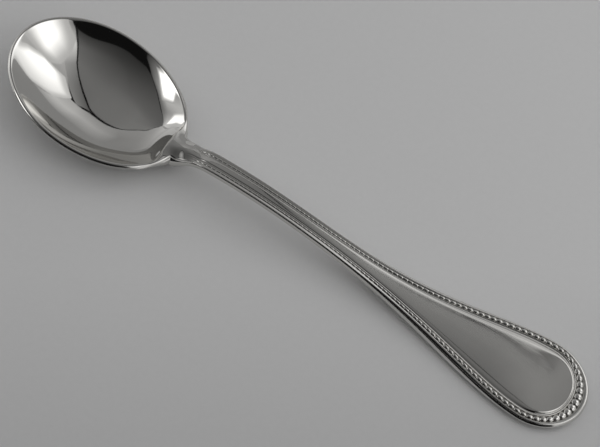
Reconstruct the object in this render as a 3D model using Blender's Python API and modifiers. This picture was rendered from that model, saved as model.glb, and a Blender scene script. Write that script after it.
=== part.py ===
"""Sugar spoon with a beaded border: bowl, handle and bead wire, in metres, +Z up.

The spoon lies face up on the plane z = 0 with its length along X: the bowl's tip is at -X and
the handle's tip at +X. The plane y = 0 is its plane of symmetry. Sizes below are in millimetres.
"""

import math

import bmesh
import bpy
import numpy as np

MM = 0.001

# Overall
LENGTH = 155.0
JOINT_GAP = 0.3

# Bowl: an ellipse in plan, tilted tip upwards, so its lowest station is behind its widest one
BOWL_LENGTH = 44.6
BOWL_WIDTH = 34.1
BOWL_WIDEST_AT = 21.7
BOWL_LOWEST_AT = 27.0
BOWL_TIP_HEIGHT = 11.2
BOWL_NECK_HEIGHT = 5.5
BOWL_FLOOR = 1.2
BOWL_FULLNESS = 0.9
RIM_WIDTH = 0.9
RIM_THICKNESS = 1.0
REST_FLAT_SINK = 0.25

# Neck, where bowl and handle run into each other
NECK_LENGTH = 3.0
NECK_WIDTH = 4.8
NECK_TAPER = 10.0
NECK_BLEND = 16.0
NECK_CROWN = 0.5
NECK_FILLET_POWER = 2.5

# Handle: a slim stem that flares into a rounded blade
STEM_WIDTH = 5.2
STEM_THICKNESS = 2.3
STEM_BULGE = 0.8
STEM_CROWN = 0.45
FLARE_START = 60.5
FLARE_POWER = 2.13
BLADE_WIDTH = 22.0
BLADE_END = 12.2
BLADE_THICKNESS = 2.3
BLADE_CROWN = 0.7
CREST_STATION = 61.2
CREST_HEIGHT = 8.35
CREST_REACH = 39.7
TIP_HEIGHT = 2.1

# Bead border: insets are measured from the handle's edge
BEAD_RADIUS_STEM = 0.32
BEAD_RADIUS_BLADE = 0.5
BEAD_PITCH_STEM = 1.25
BEAD_PITCH_BLADE = 1.65
BEAD_WAIST = 0.6
BEAD_INSET_STEM = 1.1
BEAD_INSET_BLADE = 1.3
BEAD_INSET_TIP = 2.6
BEAD_START = 4.5
CHANNEL_GAP = 0.3
CHANNEL_RUN_IN = 3.5
LIP_SHARE = 0.6
SHOULDER_RUN_STEM = 0.25
SHOULDER_RUN_BLADE = 1.3
SHOULDER_RISE = 0.1

# Numbers of stations and columns in the lofts
BOWL_STATIONS = 15
NECK_STATIONS = 4
HANDLE_STATIONS = 34
BLADE_END_STATIONS = 10
HOLLOW_COLUMNS = 7
PANEL_COLUMNS = 4
UNDER_COLUMNS = 8
PATH_DETAIL = 20
WELD = 1e-7

BOWL_HALF = BOWL_WIDTH / 2
BOWL_REAR = BOWL_LENGTH - BOWL_WIDEST_AT
NECK_HALF = NECK_WIDTH / 2
STEM_HALF = STEM_WIDTH / 2
BLADE_HALF = BLADE_WIDTH / 2
BLADE_WIDEST_AT = LENGTH - BLADE_END
NECK_JOINT = BOWL_LENGTH + NECK_LENGTH
HANDLE_START = NECK_JOINT + JOINT_GAP
BLEND_START = BOWL_LENGTH - NECK_BLEND / 4


def ramp(value, start, end):
    """Rise from 0 at start to 1 at end, with no slope or curvature at either end."""
    t = np.clip((np.asarray(value, float) - start) / (end - start), 0.0, 1.0)
    return t ** 3 * (t * (6 * t - 15) + 10)


def mix(a, b, share):
    return a + (b - a) * share


def bowl_half_width(x, inset=0.0):
    """Half width of the bowl's ellipse, drawn in by inset."""
    reach = np.where(x < BOWL_WIDEST_AT, BOWL_WIDEST_AT, BOWL_REAR) - inset
    across = np.clip(1 - ((x - BOWL_WIDEST_AT) / reach) ** 2, 0.0, None)
    return (BOWL_HALF - inset) * np.sqrt(across)


def flare_share(x):
    """How far the handle has widened from stem (0) to blade (1)."""
    share = np.clip((x - FLARE_START) / (BLADE_WIDEST_AT - FLARE_START), 0.0, 1.0) ** FLARE_POWER
    return share * share * (3 - 2 * share)


def handle_half_width(x):
    """Half width of the handle: neck, slim stem, flare and half-elliptic end."""
    stem = mix(NECK_HALF, STEM_HALF, ramp(x, NECK_JOINT, NECK_JOINT + NECK_TAPER))
    end = np.clip((x - BLADE_WIDEST_AT) / BLADE_END, 0.0, 1.0)
    return mix(stem, BLADE_HALF, flare_share(x)) * np.sqrt(1 - end ** 2)


def half_width(x):
    """Half width of the whole spoon: bowl and handle joined by a small fillet."""
    power = NECK_FILLET_POWER
    handle = handle_half_width(x) * ramp(x, BOWL_WIDEST_AT, BOWL_LENGTH)
    return (bowl_half_width(x) ** power + handle ** power) ** (1 / power)


def tip_share(x):
    """How far round the blade's end a station lies: 0 at its sides, 1 at the tip."""
    return np.clip((x - BLADE_WIDEST_AT) / BLADE_END, 0.0, 1.0) ** 2


def edge_height(x):
    """Height of the upper edge: the bowl's rim, blended into the handle's arch."""
    rim = mix(BOWL_TIP_HEIGHT, BOWL_NECK_HEIGHT, x / BOWL_LENGTH)
    arch = TIP_HEIGHT + (CREST_HEIGHT - TIP_HEIGHT) * np.exp(-((x - CREST_STATION) / CREST_REACH) ** 2)
    return mix(rim, arch, ramp(x, BLEND_START, BLEND_START + NECK_BLEND))


def edge_thickness(x):
    """Thickness of the edge: thin at the bowl's rim, stout along the handle."""
    handle = mix(STEM_THICKNESS, BLADE_THICKNESS, flare_share(x))
    return mix(RIM_THICKNESS, handle, ramp(x, BLEND_START - RIM_WIDTH, NECK_JOINT))


def neck_share(x):
    return ramp(x, BLEND_START, NECK_JOINT + NECK_LENGTH)


def fill_share(x, y, inset):
    """Depth of the bowl at a place as a share of its full depth."""
    reach = np.where(x < BOWL_WIDEST_AT, BOWL_WIDEST_AT, BOWL_REAR) - inset
    away = ((x - BOWL_WIDEST_AT) / reach) ** 2 + (y / (BOWL_HALF - inset)) ** 2
    return np.clip(1 - away, 0.0, None) ** BOWL_FULLNESS


def under_height(x, y):
    """Height of the underside, flattened where the spoon rests on z = 0."""
    lowest = edge_height(BOWL_LOWEST_AT) - RIM_THICKNESS + REST_FLAT_SINK
    depth = lowest / fill_share(BOWL_LOWEST_AT, 0.0, 0.0)
    across = 1 - (y / np.maximum(half_width(x), NECK_HALF)) ** 2
    bulge = STEM_BULGE * (1 - flare_share(x)) * neck_share(x)
    height = edge_height(x) - edge_thickness(x) - depth * fill_share(x, y, 0.0) - bulge * across
    return np.maximum(height, 0.0)


def hollow_height(x, y):
    """Height of the bowl's inside, which runs up into the neck's rounded top."""
    depth = (edge_height(BOWL_LOWEST_AT) - BOWL_FLOOR) / fill_share(BOWL_LOWEST_AT, 0.0, RIM_WIDTH)
    across = 1 - (y / np.maximum(half_width(x), NECK_HALF)) ** 2
    crown = NECK_CROWN * neck_share(x)
    return edge_height(x) - depth * fill_share(x, y, RIM_WIDTH) + crown * across


def inward_normals(x, y):
    """Unit normals of the half outline in plan, pointing towards the axis."""
    along_x = np.gradient(x)
    along_y = np.gradient(y)
    along_x[0] = 0.0 if y[0] == 0.0 else along_x[0]
    along_x[-1] = 0.0 if y[-1] == 0.0 else along_x[-1]
    size = np.hypot(along_x, along_y)
    return along_y / size, -along_x / size


def bowl_outline():
    """Half outline of the bowl and neck, from the tip to the joint with the handle."""
    front = BOWL_WIDEST_AT * (1 - np.cos(np.linspace(0, math.pi / 2, BOWL_STATIONS)))
    rear = BOWL_WIDEST_AT + BOWL_REAR * np.sin(np.linspace(0, math.pi / 2, BOWL_STATIONS))
    neck = np.linspace(BOWL_LENGTH, NECK_JOINT, NECK_STATIONS)
    x = np.concatenate([front, rear[1:], neck[1:]])
    y = half_width(x)
    y[0] = 0.0
    return x, y


def handle_outline(start, run, end):
    """Half outline of the handle from a station to the tip, with run and end stations."""
    straight = np.linspace(start, BLADE_WIDEST_AT, run)
    rounded = BLADE_WIDEST_AT + BLADE_END * np.sin(np.linspace(0, math.pi / 2, end))
    x = np.concatenate([straight, rounded[1:]])
    y = half_width(x)
    y[-1] = 0.0
    return x, y


def bead_radius(x):
    return mix(BEAD_RADIUS_STEM, BEAD_RADIUS_BLADE, flare_share(x))


def bead_inset(x):
    side = mix(BEAD_INSET_STEM, BEAD_INSET_BLADE, flare_share(x))
    return mix(side, BEAD_INSET_TIP, tip_share(x))


def under_columns(x, y):
    """Columns of the underside, from the edge to the axis."""
    shares = np.linspace(1, 0, UNDER_COLUMNS)
    return [(x, y * share, under_height(x, y * share)) for share in shares]


def bowl_columns():
    """Columns of the bowl's half section: hollow, rim and underside."""
    x, y = bowl_outline()
    normal_x, normal_y = inward_normals(x, y)
    inner_x = x + normal_x * RIM_WIDTH
    inner_y = np.maximum(y + normal_y * RIM_WIDTH, 0.0)
    inner_x[-1] = x[-1]
    columns = []
    for share in np.linspace(0, 1, HOLLOW_COLUMNS):
        columns.append((inner_x, inner_y * share, hollow_height(inner_x, inner_y * share)))
    columns.append((x, y, edge_height(x)))
    return columns + under_columns(x, y)


def handle_columns():
    """Columns of the handle's half section: panel, bead channel, lip and underside."""
    x, y = handle_outline(HANDLE_START, HANDLE_STATIONS, BLADE_END_STATIONS)
    normal_x, normal_y = inward_normals(x, y)
    normal_x[0], normal_y[0] = 0.0, -1.0
    relief = ramp(x, HANDLE_START, HANDLE_START + CHANNEL_RUN_IN)
    inset = bead_inset(x)
    half_channel = bead_radius(x) + CHANNEL_GAP
    foot = inset + half_channel
    shoulder = foot + mix(SHOULDER_RUN_STEM, SHOULDER_RUN_BLADE, flare_share(x))
    crown = mix(STEM_CROWN, BLADE_CROWN, flare_share(x))

    def border(distance, rise):
        place_x = x + normal_x * distance
        place_y = np.maximum(y + normal_y * distance, 0.0)
        return place_x, place_y, edge_height(place_x) + rise

    top_x, top_y, top_z = border(shoulder, SHOULDER_RISE * relief)
    columns = []
    for share in np.linspace(0, 1, PANEL_COLUMNS):
        height = top_z + mix(NECK_CROWN, crown, relief) * (1 - share ** 2)
        columns.append((top_x, top_y * share, height))
    columns.append(border(foot, -half_channel * relief))
    columns.append(border(inset - half_channel, -half_channel * relief))
    columns.append(border((inset - half_channel) * LIP_SHARE, 0.0))
    columns.append((x, y, edge_height(x)))
    return columns + under_columns(x, y)


def bead_path():
    """Bead centres and waists along the border: places, and the wire's radius at each."""
    start = HANDLE_START + BEAD_START
    x, y = handle_outline(start, HANDLE_STATIONS * PATH_DETAIL, BLADE_END_STATIONS * PATH_DETAIL)
    normal_x, normal_y = inward_normals(x, y)
    place_x = x + normal_x * bead_inset(x)
    place_y = np.maximum(y + normal_y * bead_inset(x), 0.0)
    step = np.hypot(np.diff(place_x), np.diff(place_y))
    pitch = mix(BEAD_PITCH_STEM, BEAD_PITCH_BLADE, flare_share(x))
    count = np.concatenate([[0.0], np.cumsum(step / pitch[1:])])
    beads = round(count[-1])
    stops = np.linspace(0, count[-1], 2 * beads)
    along_x = np.interp(stops, count, place_x)
    along_y = np.interp(stops, count, place_y)
    radius = bead_radius(np.interp(stops, count, x))
    radius[0::2] *= BEAD_WAIST
    half = np.column_stack([along_x, along_y, edge_height(along_x), radius])
    other = half[-2::-1] * np.array([1, -1, 1, 1])
    return np.concatenate([half, other])


def polished_steel(name, colour, roughness):
    material = bpy.data.materials.new(name)
    material.use_nodes = True
    shader = material.node_tree.nodes["Principled BSDF"]
    shader.inputs["Base Color"].default_value = (*colour, 1.0)
    shader.inputs["Metallic"].default_value = 1.0
    shader.inputs["Roughness"].default_value = roughness
    return material


def to_world(x, y, z):
    return (x - LENGTH / 2) * MM, y * MM, z * MM


def add_half_loft(name, columns, collection, material, end_caps):
    """Loft a half section along its stations and mirror it about y = 0.

    columns run round the half section from the axis on top to the axis below. end_caps lists
    the stations whose section is closed by a flat face.
    """
    mesh = bpy.data.meshes.new(name)
    shape = bmesh.new()
    grid = []
    for x, y, z in columns:
        grid.append([shape.verts.new(to_world(*point)) for point in zip(x, y, z)])
    for left, right in zip(grid, grid[1:]):
        for i in range(len(left) - 1):
            shape.faces.new((left[i], right[i], right[i + 1], left[i + 1]))
    for station in end_caps:
        shape.faces.new([column[station] for column in grid])
    bmesh.ops.remove_doubles(shape, verts=shape.verts[:], dist=WELD)
    bmesh.ops.dissolve_degenerate(shape, edges=shape.edges[:], dist=WELD)
    bmesh.ops.recalc_face_normals(shape, faces=shape.faces[:])
    shape.to_mesh(mesh)
    shape.free()
    mesh.shade_smooth()
    mesh.materials.append(material)
    part = bpy.data.objects.new(name, mesh)
    collection.objects.link(part)
    mirror = part.modifiers.new("Mirror", "MIRROR")
    mirror.use_axis = (False, True, False)
    mirror.use_clip = True
    mirror.merge_threshold = 10 * WELD
    return part


def add_bead_border(collection, material):
    """A wire round the border whose radius swells at every bead."""
    curve = bpy.data.curves.new("bead_border", "CURVE")
    curve.dimensions = "3D"
    curve.bevel_depth = MM
    curve.bevel_resolution = 1
    curve.use_fill_caps = True
    path = bead_path()
    spline = curve.splines.new("POLY")
    spline.points.add(len(path) - 1)
    for point, (x, y, z, radius) in zip(spline.points, path):
        point.co = (*to_world(x, y, z), 1.0)
        point.radius = radius
    curve.materials.append(material)
    part = bpy.data.objects.new("bead_border", curve)
    collection.objects.link(part)
    return part


def main():
    for old in list(bpy.data.objects):
        bpy.data.objects.remove(old, do_unlink=True)
    collection = bpy.data.collections.new("sugar_spoon")
    bpy.context.scene.collection.children.link(collection)
    bowl_steel = polished_steel("bowl_steel", (0.72, 0.71, 0.68), 0.07)
    handle_steel = polished_steel("handle_steel", (0.68, 0.67, 0.64), 0.12)
    bead_steel = polished_steel("bead_steel", (0.66, 0.65, 0.62), 0.16)
    add_half_loft("bowl", bowl_columns(), collection, bowl_steel, end_caps=[-1])
    add_half_loft("handle", handle_columns(), collection, handle_steel, end_caps=[0])
    add_bead_border(collection, bead_steel)


main()
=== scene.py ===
"""Looks of a sugar spoon with a bead border: polished bowl, handle and beads on a pale table.

The spoon's sizes are in millimetres on its own stations: x runs from 0 at the bowl's tip to the
spoon's length at the handle's tip, y is the distance from the plane of symmetry and z the height
above the table. Meshes are written in metres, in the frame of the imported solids.
"""

import logging
import math
from dataclasses import dataclass
from enum import Enum

import bpy
import numpy as np
from mathutils import Matrix, Vector


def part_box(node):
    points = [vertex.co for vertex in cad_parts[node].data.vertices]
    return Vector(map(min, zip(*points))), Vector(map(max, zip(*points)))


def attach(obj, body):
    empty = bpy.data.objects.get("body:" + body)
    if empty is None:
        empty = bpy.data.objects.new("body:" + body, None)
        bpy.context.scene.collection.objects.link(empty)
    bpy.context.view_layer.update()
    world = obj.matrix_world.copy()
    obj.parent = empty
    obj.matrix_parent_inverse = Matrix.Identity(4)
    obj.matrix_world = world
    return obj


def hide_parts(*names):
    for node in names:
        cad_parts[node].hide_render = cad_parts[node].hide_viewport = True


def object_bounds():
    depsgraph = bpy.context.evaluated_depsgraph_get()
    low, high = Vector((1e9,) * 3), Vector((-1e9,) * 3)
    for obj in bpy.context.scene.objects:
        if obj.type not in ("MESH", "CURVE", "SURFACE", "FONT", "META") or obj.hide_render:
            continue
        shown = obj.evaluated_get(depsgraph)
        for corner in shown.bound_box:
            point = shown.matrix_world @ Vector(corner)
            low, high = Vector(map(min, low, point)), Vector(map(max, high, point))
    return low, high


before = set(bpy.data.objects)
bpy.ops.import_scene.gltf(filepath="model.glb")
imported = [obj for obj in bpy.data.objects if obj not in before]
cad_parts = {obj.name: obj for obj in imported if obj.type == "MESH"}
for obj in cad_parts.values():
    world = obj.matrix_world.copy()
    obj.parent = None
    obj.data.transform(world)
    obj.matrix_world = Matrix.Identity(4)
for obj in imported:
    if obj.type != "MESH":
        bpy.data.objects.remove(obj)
CAD_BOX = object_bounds()

Array = np.ndarray
Place = tuple[Array, Array]
Socket = bpy.types.NodeSocket
Span = tuple[float, float]
Triple = tuple[float, float, float]
LOG = logging.getLogger("sugar_spoon")
MM = 0.001
BODY = "root"

# Spans of smooth columns in each half section: round its side and across its back.
SIDE_SPANS = 4
BACK_SPANS = 5


def ramp(value: Array, start: float, end: float) -> Array:
    """Rise from 0 at start to 1 at end, with no slope or curvature at either end.

    Args:
        value: Places along the rise.
        start: Place where the rise begins.
        end: Place where it is complete.

    Returns:
        6 t^5 - 15 t^4 + 10 t^3, where t is the share of the way from start to end.
    """
    t = np.clip((np.asarray(value, float) - start) / (end - start), 0.0, 1.0)
    return t ** 3 * (t * (6 * t - 15) + 10)


def mix(a: Array, b: Array, share: Array) -> Array:
    """Go from a to b by a share of the way."""
    return a + (b - a) * share


def soft_positive(value: Array, ease: float) -> Array:
    """Let negative values fade to 0: half of the sum of value and hypot(value, ease)."""
    return (value + np.hypot(value, ease)) / 2


def spline_columns(control: Array, per_span: int) -> Array:
    """Draw a smooth row of columns from a row of control points.

    Each span is the parabola (1 - t)^2 A + 2 t (1 - t) B + t^2 C, where B is a control point and
    A and C are the midpoints to its neighbours. The row starts and ends on its end points.

    Args:
        control: Control points, shaped (points, stations, values).
        per_span: Columns in each span.

    Returns:
        Columns shaped (stations, columns, values).
    """
    joints = (control[1:-2] + control[2:-1]) / 2
    starts = np.concatenate([control[:1], joints])[:, None]
    ends = np.concatenate([joints, control[-1:]])[:, None]
    middles = control[1:-1][:, None]
    t = np.linspace(0, 1, per_span, endpoint=False)[None, :, None, None]
    spans = (1 - t) ** 2 * starts + 2 * t * (1 - t) * middles + t ** 2 * ends
    rows = np.concatenate([spans.reshape(-1, *control.shape[1:]), control[-1:]])
    return rows.transpose(1, 0, 2)


def resample(values: Array, count: int) -> Array:
    """Spread rows of values evenly over a new count of rows, straight from one to the next.

    Args:
        values: Rows of values.
        count: Number of rows wanted.

    Returns:
        The new rows, of which the first and last are kept as they were.
    """
    place = np.linspace(0, len(values) - 1, count)
    low = np.minimum(place.astype(int), len(values) - 2)
    share = (place - low).reshape(-1, *[1] * (values.ndim - 1))
    return mix(values[low], values[low + 1], share)


def grid_faces(rows: int, columns: int) -> Array:
    """List the quads of a grid of points, counter-clockwise where rows cross columns outwards."""
    index = np.arange(rows * columns).reshape(rows, columns)
    corners = [index[:-1, :-1], index[1:, :-1], index[1:, 1:], index[:-1, 1:]]
    return np.stack(corners, axis=-1).reshape(-1, 4)


@dataclass(frozen=True)
class Surface:
    """A closed surface: its points in millimetres, its faces and a value for each point."""

    points: Array
    quads: Array
    values: dict[str, Array]
    caps: tuple[Array, ...] = ()

    WELD = 1e-5
    SHARP_DEGREES = 60.0

    def mirrored(self) -> "Surface":
        """Join the surface to its mirror image about y = 0."""
        count = len(self.points)
        points = np.concatenate([self.points, self.points * np.array([1, -1, 1])])
        quads = np.concatenate([self.quads, self.quads[:, ::-1] + count])
        values = {name: np.concatenate([value, value]) for name, value in self.values.items()}
        caps = tuple(np.concatenate([cap, cap[::-1] + count]) for cap in self.caps)
        return Surface(points, quads, values, caps)

    def piece(self, name: str, form: "SpoonForm") -> bpy.types.Object:
        """Weld the points that meet, drop collapsed faces and make the object.

        Args:
            name: Name of the piece.
            form: Form that says where the stations lie in the frame.

        Returns:
            The new object, with its place in its mesh.
        """
        keys = np.round(self.points / self.WELD).astype(np.int64)
        _, first, place = np.unique(keys, axis=0, return_index=True, return_inverse=True)
        place = place.reshape(-1)
        corners = place[self.quads]
        same = corners == np.roll(corners, -1, axis=1)
        kept = corners[~same.any(axis=1)].tolist()
        single = corners[same.sum(axis=1) == 1]
        open_corner = same[same.sum(axis=1) == 1]
        kept += single[~open_corner].reshape(-1, 3).tolist()
        for cap in self.caps:
            ring = place[cap]
            kept.append(ring[ring != np.roll(ring, 1)].tolist())
        mesh = bpy.data.meshes.new(name)
        mesh.from_pydata(form.to_frame(self.points[first]), [], kept)
        for label, value in self.values.items():
            layer = mesh.attributes.new(label, "FLOAT", "POINT")
            layer.data.foreach_set("value", value[first].astype(np.float32))
        mesh.validate()
        mesh.shade_smooth()
        mesh.set_sharp_from_angle(angle=math.radians(self.SHARP_DEGREES))
        piece = bpy.data.objects.new(name, mesh)
        bpy.context.scene.collection.objects.link(piece)
        return piece


@dataclass(frozen=True)
class Outline:
    """Half outline in plan: places and inward unit normals, one for each station."""

    x: Array
    y: Array
    inward_x: Array
    inward_y: Array

    @classmethod
    def through(cls, x: Array, y: Array) -> "Outline":
        """Find the inward normals of a half outline from its slope along its own arc length.

        Args:
            x: Stations, rising.
            y: Half widths, 0 where the outline meets the axis.

        Returns:
            The outline with normals square to the axis wherever it crosses the axis.
        """
        arc = np.concatenate([[0.0], np.cumsum(np.hypot(np.diff(x), np.diff(y)))])
        along_x = np.gradient(x, arc)
        along_y = np.gradient(y, arc)
        along_x = np.where(y == 0.0, 0.0, along_x)
        size = np.hypot(along_x, along_y)
        return cls(x, y, along_y / size, -along_x / size)

    def inset(self, distance: Array) -> tuple[Array, Array]:
        """Move the outline inwards by a distance, staying on its own side of the axis."""
        x = self.x + self.inward_x * distance
        y = self.y + self.inward_y * distance
        return x, np.maximum(y, 0.0)


@dataclass(frozen=True)
class SpoonForm:
    """Plan and heights of the whole striking, which bowl, handle and beads share."""

    length: float
    bowl_width: float
    blade_width: float
    neck_joint: float
    bowl_length: float = 44.6
    bowl_widest_at: float = 21.7
    bowl_lowest_at: float = 27.0
    bowl_tip_height: float = 11.2
    bowl_neck_height: float = 5.5
    neck_width: float = 6.8
    neck_taper: float = 6.0
    neck_dip: float = 0.4
    neck_dip_behind: float = 2.0
    neck_dip_reach: float = 5.0
    neck_blend: float = 12.0
    neck_settle: float = 3.0
    neck_fillet_power: float = 2.5
    root_start: float = 35.0
    root_top_behind: float = 1.0
    root_end: float = 52.0
    root_reach: float = 6.0
    root_width: float = 5.4
    root_narrowing: float = 5.0
    root_narrow_behind: float = 0.5
    root_height: float = 1.6
    stem_width: float = 5.2
    stem_dullness: float = 0.25
    flare_start: float = 60.5
    flare_power: float = 2.13
    blade_end: float = 12.2
    crest_station: float = 61.2
    crest_height: float = 8.35
    crest_reach: float = 39.7
    tip_height: float = 2.1
    front_stations: int = 84
    rear_stations: int = 84
    neck_stations: int = 28
    run_stations: int = 270
    end_stations: int = 84

    @classmethod
    def from_frame(cls) -> "SpoonForm":
        """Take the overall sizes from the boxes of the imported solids."""
        low, high = CAD_BOX
        bowl_low, bowl_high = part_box("bowl")
        handle_low, handle_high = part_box("handle")
        return cls(
            length=(high.x - low.x) / MM,
            bowl_width=(bowl_high.y - bowl_low.y) / MM,
            blade_width=(handle_high.y - handle_low.y) / MM,
            neck_joint=(bowl_high.x + handle_low.x - 2 * low.x) / 2 / MM,
        )

    @property
    def bowl_half(self) -> float:
        """Half of the bowl's width."""
        return self.bowl_width / 2

    @property
    def blade_widest_at(self) -> float:
        """Station where the blade is widest."""
        return self.length - self.blade_end

    @property
    def blend_start(self) -> float:
        """Station where the rim begins to run into the handle."""
        return self.bowl_length - self.neck_blend / 4

    def to_frame(self, points: Array) -> Array:
        """Turn stations in millimetres into places in the frame, in metres."""
        return (points - np.array([self.length / 2, 0.0, 0.0])) * MM

    def bowl_reach(self, x: Array) -> Array:
        """Length of the bowl's half ellipse on this side of its widest station."""
        rear = self.bowl_length - self.bowl_widest_at
        return np.where(x < self.bowl_widest_at, self.bowl_widest_at, rear)

    def bowl_half_width(self, x: Array) -> Array:
        """Half width of the bowl's ellipse: its half width times sqrt(1 - q^2)."""
        q = (x - self.bowl_widest_at) / self.bowl_reach(x)
        return self.bowl_half * np.sqrt(np.clip(1 - q ** 2, 0.0, None))

    def flare_share(self, x: Array) -> Array:
        """How far stem (0) has widened to blade (1): 3 s^2 - 2 s^3 of a powered share s."""
        run = self.blade_widest_at - self.flare_start
        share = np.clip((x - self.flare_start) / run, 0.0, 1.0) ** self.flare_power
        return share * share * (3 - 2 * share)

    def end_share(self, x: Array) -> Array:
        """How far a station lies into the blade's rounded end, from 0 to 1."""
        return np.clip((x - self.blade_widest_at) / self.blade_end, 0.0, 1.0)

    def handle_half_width(self, x: Array) -> Array:
        """Half width of the handle: neck, slim stem, flare and half-elliptic end."""
        taper = ramp(x, self.bowl_length, self.bowl_length + self.neck_taper)
        stem = mix(self.neck_width / 2, self.stem_width / 2, taper)
        blade = mix(stem, self.blade_width / 2, self.flare_share(x))
        return blade * np.sqrt(1 - self.end_share(x) ** 2)

    def half_width(self, x: Array) -> Array:
        """Half width of the spoon: the power sum of bowl and handle, which fillets the neck."""
        power = self.neck_fillet_power
        handle = self.handle_half_width(x) * ramp(x, self.bowl_widest_at, self.bowl_length)
        return (self.bowl_half_width(x) ** power + handle ** power) ** (1 / power)

    def edge_height(self, x: Array) -> Array:
        """Height of the upper edge: a sloping rim line blended into a bell-shaped arch, less a dip."""
        rim = mix(self.bowl_tip_height, self.bowl_neck_height, x / self.bowl_length)
        rise = self.crest_height - self.tip_height
        arch = self.tip_height + rise * np.exp(-((x - self.crest_station) / self.crest_reach) ** 2)
        edge = mix(rim, arch, ramp(x, self.blend_start, self.blend_start + self.neck_blend))
        return edge - self.neck_dip * self.neck_swell(x, self.neck_dip_behind, self.neck_dip_reach)

    def neck_share(self, x: Array) -> Array:
        """How far a station has passed from the bowl's rim (0) to the handle (1)."""
        return ramp(x, self.blend_start, self.neck_joint + self.neck_settle)

    def neck_swell(self, x: Array, behind: float, reach: float) -> Array:
        """Bell-shaped share, 1 at a distance behind the bowl's end and fading over its reach."""
        return np.exp(-((x - self.bowl_length - behind) / reach) ** 2)

    def root_rise(self, x: Array, y: Array) -> Array:
        """Rise of the stem's root above the edge line, a bell across that narrows to the stem."""
        top = self.bowl_length + self.root_top_behind
        along = ramp(x, self.root_start, top) * (1 - ramp(x, top, self.root_end))
        narrow = ramp(x, self.bowl_length - self.root_narrowing, top + self.root_narrow_behind)
        reach = mix(self.root_reach, self.root_width / 2, narrow)
        return self.root_height * along * np.exp(-(y / reach) ** 2)

    def dullness(self, x: Array) -> Array:
        """How far the recesses take grime, painted shade and roughness: little on the slim stem, fully on
        the blade.
        """
        return mix(self.stem_dullness, 1.0, self.flare_share(x))

    def outline(self) -> tuple[Outline, int]:
        """Lay out the stations, close together at both tips and in the notch.

        Returns:
            The half outline from the bowl's tip to the handle's tip, and the index of the station
            where bowl and handle meet.
        """
        quarter = math.pi / 2
        front = self.bowl_widest_at * (1 - np.cos(np.linspace(0, quarter, self.front_stations)))
        rear_run = self.bowl_length - self.bowl_widest_at
        rear = self.bowl_widest_at + rear_run * np.sin(np.linspace(0, quarter, self.rear_stations))
        neck = np.linspace(self.bowl_length, self.neck_joint, self.neck_stations)
        run = np.linspace(self.neck_joint, self.blade_widest_at, self.run_stations)
        round_off = np.sin(np.linspace(0, quarter, self.end_stations))
        end = self.blade_widest_at + self.blade_end * round_off
        x = np.concatenate([front, rear[1:], neck[1:], run[1:], end[1:]])
        y = self.half_width(x)
        y[0] = 0.0
        y[-1] = 0.0
        joint = len(front) + len(rear) + len(neck) - 3
        return Outline.through(x, y), joint


@dataclass(frozen=True)
class Graduated:
    """A size that grows from the stem to the blade's sides and on to the blade's tip."""

    stem: float
    blade: float
    tip: float

    def at(self, form: SpoonForm, x: Array) -> Array:
        """Size at each station."""
        side = mix(self.stem, self.blade, form.flare_share(x))
        return mix(side, self.tip, form.end_share(x) ** 2)


class Polish(Enum):
    """How far a zone of the steel was finished after striking."""

    MIRROR = "mirror"
    BRIGHT = "bright"
    STRUCK = "struck"


class NodeBoard:
    """Adds, sets and links the nodes of one node tree."""

    LINE_CREST = (0.64, 0.74)
    LINE_DETAIL = 2.0
    COLOUR_A = 6
    COLOUR_B = 7
    COLOUR_RESULT = 2

    def __init__(self, tree: bpy.types.NodeTree) -> None:
        """Start on an empty tree."""
        self.tree = tree
        tree.nodes.clear()

    def add(self, kind: str, inputs: dict | None = None, **settings: object) -> bpy.types.Node:
        """Add a node.

        Args:
            kind: Node type's name.
            inputs: For each input's name or number, a value or the socket to link from.
            settings: Properties of the node.

        Returns:
            The new node.
        """
        node = self.tree.nodes.new(kind)
        for name, value in settings.items():
            setattr(node, name, value)
        for name, value in (inputs or {}).items():
            if isinstance(value, Socket):
                self.tree.links.new(value, node.inputs[name])
            else:
                node.inputs[name].default_value = value
        return node

    def noise(self, place: Socket, scale: float, detail: float) -> Socket:
        """Draw fractal noise of a frequency per metre."""
        inputs = {"Vector": place, "Scale": scale, "Detail": detail}
        return self.add("ShaderNodeTexNoise", inputs).outputs["Fac"]

    def stretch(self, value: Socket, source: Span, target: Span = (0.0, 1.0)) -> Socket:
        """Map one span of values evenly onto another, and hold them at its ends."""
        inputs = {
            "Value": value,
            "From Min": source[0],
            "From Max": source[1],
            "To Min": target[0],
            "To Max": target[1],
        }
        return self.add("ShaderNodeMapRange", inputs).outputs["Result"]

    def work_out(self, operation: str, *values: Socket | float) -> Socket:
        """Combine sockets and numbers by a named operation."""
        return self.add("ShaderNodeMath", dict(enumerate(values)), operation=operation).outputs[0]

    def blend(self, share: Socket | float, first: object, second: object, way: str = "MIX") -> Socket:
        """Mix two colours by a share.

        Args:
            share: How far the second colour counts, from 0 to 1.
            first: Colour or socket to start from.
            second: Colour or socket to go to.
            way: Name of the way they are mixed.

        Returns:
            The mixed colour's socket.
        """
        inputs = {0: share, self.COLOUR_A: first, self.COLOUR_B: second}
        node = self.add("ShaderNodeMix", inputs, data_type="RGBA", blend_type=way)
        return node.outputs[self.COLOUR_RESULT]

    def streaks(self, place: Socket, turn: float, along: float, across: float) -> Socket:
        """Draw thin lines at an angle: stretched noise, of which only the crests are kept.

        Args:
            place: Coordinates.
            turn: Angle of the lines in degrees.
            along: Lines' frequency along their length, per metre.
            across: Lines' frequency across, per metre.

        Returns:
            A socket that is 1 on a line and 0 beside it.
        """
        rotation = (0.0, 0.0, math.radians(turn))
        inputs = {0: place, "Rotation": rotation, "Scale": (along, across, across)}
        turned = self.add("ShaderNodeMapping", inputs).outputs[0]
        return self.stretch(self.noise(turned, 1.0, self.LINE_DETAIL), self.LINE_CREST)


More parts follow.
